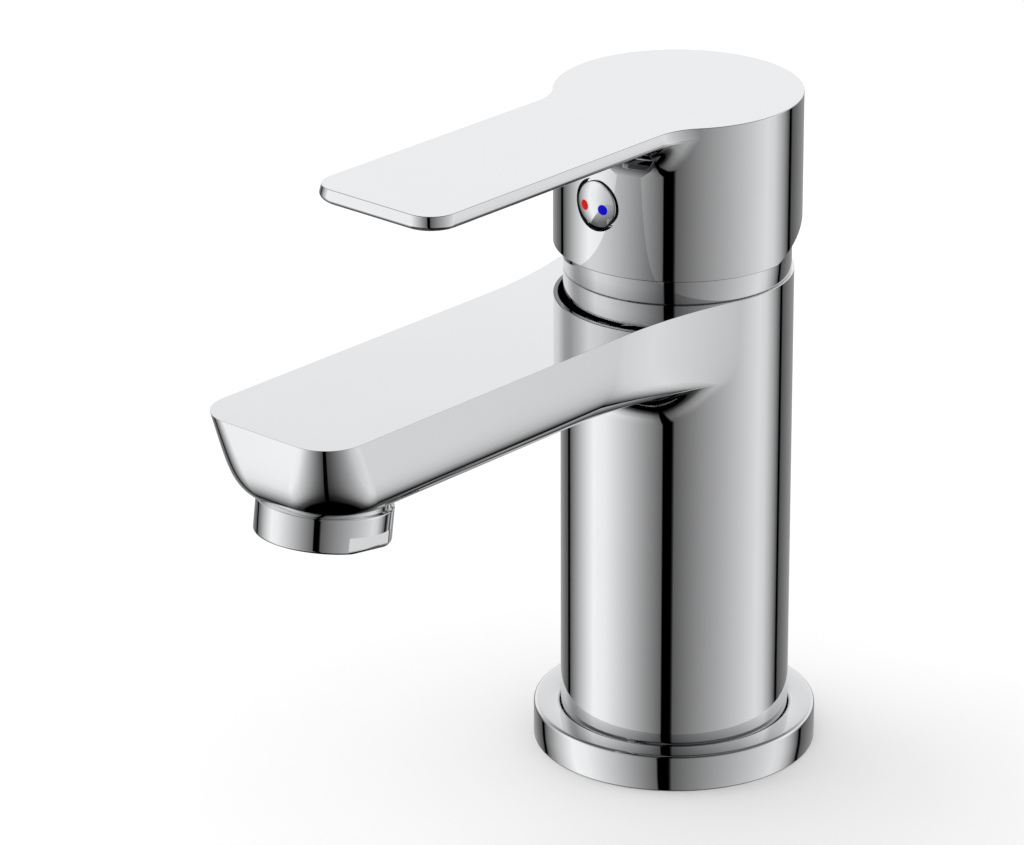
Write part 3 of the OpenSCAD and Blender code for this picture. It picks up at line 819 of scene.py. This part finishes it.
def collar(build, prof, m, steps):
    """The aerator's sleeve, with its lower part cut to two wrench flats."""
    start = len(build.tris)
    build.lathe(prof, steps=steps, crease=30)
    mat = np.array(m, float)
    for i in range(start, len(build.tris)):
        pts = np.array(build.tris[i])
        nrm = np.array(build.normals[i])
        side = 1 if pts[:, 0].mean() > 0 else -1
        low = pts[:, 2].max() < FLAT_H - 0.005
        if low and np.hypot(pts[:, 0], pts[:, 1]).max() > FLAT_X and abs(pts[:, 0]).max() > FLAT_X:
            far = np.abs(pts[:, 0]) > FLAT_X - 1e-9
            pts[far, 0] = side * FLAT_X
            if far.all() and pts[:, 2].max() - pts[:, 2].min() > 0.3:
                nrm[:] = (side, 0, 0)
        elif pts[:, 2].min() < FLAT_H - 0.005 and pts[:, 2].max() <= FLAT_H + 1e-9:
            below = (pts[:, 2] < FLAT_H - 0.005) & (np.abs(pts[:, 0]) > FLAT_X)
            pts[below, 0] = side * FLAT_X
            if below.any():
                nrm[:] = (0, 0, -1)
        build.tris[i] = [tuple(mat[:3, :3] @ p + mat[:3, 3]) for p in pts]
        build.normals[i] = [tuple(mat[:3, :3] @ n) for n in nrm]


collar(b, profile, leaning, 180)
b.done("aerator_sleeve", "root", [CHROME], ["aerator_housing"])

# ---------------------------------------------------------------- floor, light, camera

floor_mat = bpy.data.materials.new("floor_paint")
floor_mat.use_nodes = True
floor_mat.node_tree.nodes["Principled BSDF"].inputs["Base Color"].default_value = (0.9, 0.9, 0.9, 1)
floor_mat.node_tree.nodes["Principled BSDF"].inputs["Roughness"].default_value = 0.9
mesh = bpy.data.meshes.new("floor")
S = 12.0
mesh.from_pydata([(-S, -S, 0), (S, -S, 0), (S, S, 0), (-S, S, 0)], [], [(0, 1, 2, 3)])
mesh.materials.append(floor_mat)
floor = bpy.data.objects.new("floor", mesh)
bpy.context.scene.collection.objects.link(floor)
floor.visible_glossy = False

world = bpy.data.worlds.new("studio")
bpy.context.scene.world = world
world.use_nodes = True
wn, wl = world.node_tree.nodes, world.node_tree.links
back = wn["Background"]
place = wn.new("ShaderNodeTexCoord")
split = wn.new("ShaderNodeSeparateXYZ")
wl.new(place.outputs["Generated"], split.inputs["Vector"])


def math_node(op, a, b=None):
    n = wn.new("ShaderNodeMath")
    n.operation = op
    for i, v in enumerate((a, b)):
        if v is None:
            continue
        if isinstance(v, (int, float)):
            n.inputs[i].default_value = v
        else:
            wl.new(v, n.inputs[i])
    return n.outputs[0]


def ramp_node(value, stops):
    n = wn.new("ShaderNodeValToRGB")
    el = n.color_ramp.elements
    el.remove(el[1])
    el[0].position = stops[0][0]
    el[0].color = (stops[0][1],) * 3 + (1,)
    for pos, v in stops[1:]:
        el.new(pos).color = (v, v, v, 1)
    wl.new(value, n.inputs["Fac"])
    return n.outputs["Color"]


def linear(v):
    """Linear light of an 8-bit grey."""
    v /= 255
    return v / 12.92 if v < 0.04045 else ((v + 0.055) / 1.055) ** 2.4


# angle round the object from -Y towards +X, counted from the photo's side, as a share of a turn
FRONT_AZ = 40.156
turn = math_node("ARCTAN2", split.outputs["X"], math_node("MULTIPLY", split.outputs["Y"], -1.0))
share = math_node("FRACT", math_node("ADD", math_node("DIVIDE", turn, 2 * PI), 0.5 - FRONT_AZ / 360))
# bands of light as (degrees, 8-bit grey), with narrow dark gaps between them
WALLS = [(-180, 155), (-160, 135), (-138, 80), (-137, 0), (-132, 0), (-131, 84), (-118, 152), (-104, 204),
         (-90, 242), (-75, 234), (-50, 192), (-30, 146), (-14, 98), (-13, 0), (-3, 0), (-2, 88),
         (20, 132), (45, 166), (70, 196), (90, 218), (100, 208), (112, 160), (122.4, 76), (123.4, 0),
         (127.6, 0), (128.6, 80), (145, 115),
         (165, 138), (180, 155)]
# the same walls seen upwards, with a bright ceiling behind the object
CEILING = [(-180, 232), (-146, 230), (-128, 175), (-118, 170)] + [w for w in WALLS if -110 < w[0] < 80]
CEILING += [(92, 232), (104, 244), (116, 215), (138, 225), (180, 232)]
height = math_node("ARCSINE", split.outputs["Z"])
level = math_node("ADD", math_node("DIVIDE", height, PI), 0.5)
# brightness by elevation, dark below the object and dim overhead
LEVELS = [(-90, 0.0), (-67, 0.0), (-60, 0.1), (-50, 0.6), (-38, 1.0), (20, 1.0), (25, 0.85), (34, 0.55),
          (44, 0.25), (54, 0.15), (90, 0.15)]
fade = ramp_node(level, [((d + 90) / 180, v) for d, v in LEVELS])
# chrome plate gives back about 0.7 of the light, and the walls stand that much brighter
GAIN = 1.4
walls = ramp_node(share, [((d + 180) / 360, linear(v)) for d, v in WALLS])
ceiling = ramp_node(share, [((d + 180) / 360, linear(v)) for d, v in CEILING])
# from the walls to the ceiling between 9 degrees below level and 9 above
upward = ramp_node(level, [(0.45, 0.0), (0.55, 1.0)])
whole = math_node("ADD", math_node("MULTIPLY", walls, math_node("SUBTRACT", 1.0, upward)),
                  math_node("MULTIPLY", ceiling, upward))
mirrored = math_node("MULTIPLY", math_node("MULTIPLY", whole, fade), GAIN)
path = wn.new("ShaderNodeLightPath")
shown = wn.new("ShaderNodeMixRGB")
wl.new(path.outputs["Is Glossy Ray"], shown.inputs["Fac"])
shown.inputs["Color1"].default_value = (1.1, 1.1, 1.1, 1)
wl.new(mirrored, shown.inputs["Color2"])
wl.new(shown.outputs["Color"], back.inputs["Color"])

lamp = bpy.data.lights.new("softbox", "AREA")
lamp.shape = "SQUARE"
lamp.size = 1.2
lamp.energy = 6
lamp_obj = bpy.data.objects.new("softbox", lamp)
lamp_obj.location = (-0.9, -0.4, 1.6)
lamp_obj.rotation_euler = (Vector((0, 0, 0.05)) - lamp_obj.location).to_track_quat("-Z", "Y").to_euler()
lamp_obj.visible_glossy = False
bpy.context.scene.collection.objects.link(lamp_obj)

cam = bpy.data.cameras.new("camera")
cam.sensor_width = 36
cam.lens = 184.18
cam.clip_start = 0.01
cam.clip_end = 50
cam_obj = bpy.data.objects.new("camera", cam)
az, pitch, roll = math.radians(42.093), math.radians(22.119), math.radians(-0.289)
look = Vector((-math.sin(az) * math.cos(pitch), math.cos(az) * math.cos(pitch), -math.sin(pitch)))
level_right = Vector((math.cos(az), math.sin(az), 0))
level_up = level_right.cross(look)
right = level_right * math.cos(roll) + level_up * math.sin(roll)
up = level_up * math.cos(roll) - level_right * math.sin(roll)
cam_obj.matrix_world = Matrix((
    (right.x, up.x, -look.x, 0.61218),
    (right.y, up.y, -look.y, -0.72552),
    (right.z, up.z, -look.z, 0.45223),
    (0, 0, 0, 1)))
bpy.context.scene.collection.objects.link(cam_obj)
bpy.context.scene.camera = cam_obj
bpy.context.scene.view_settings.view_transform = "Standard"
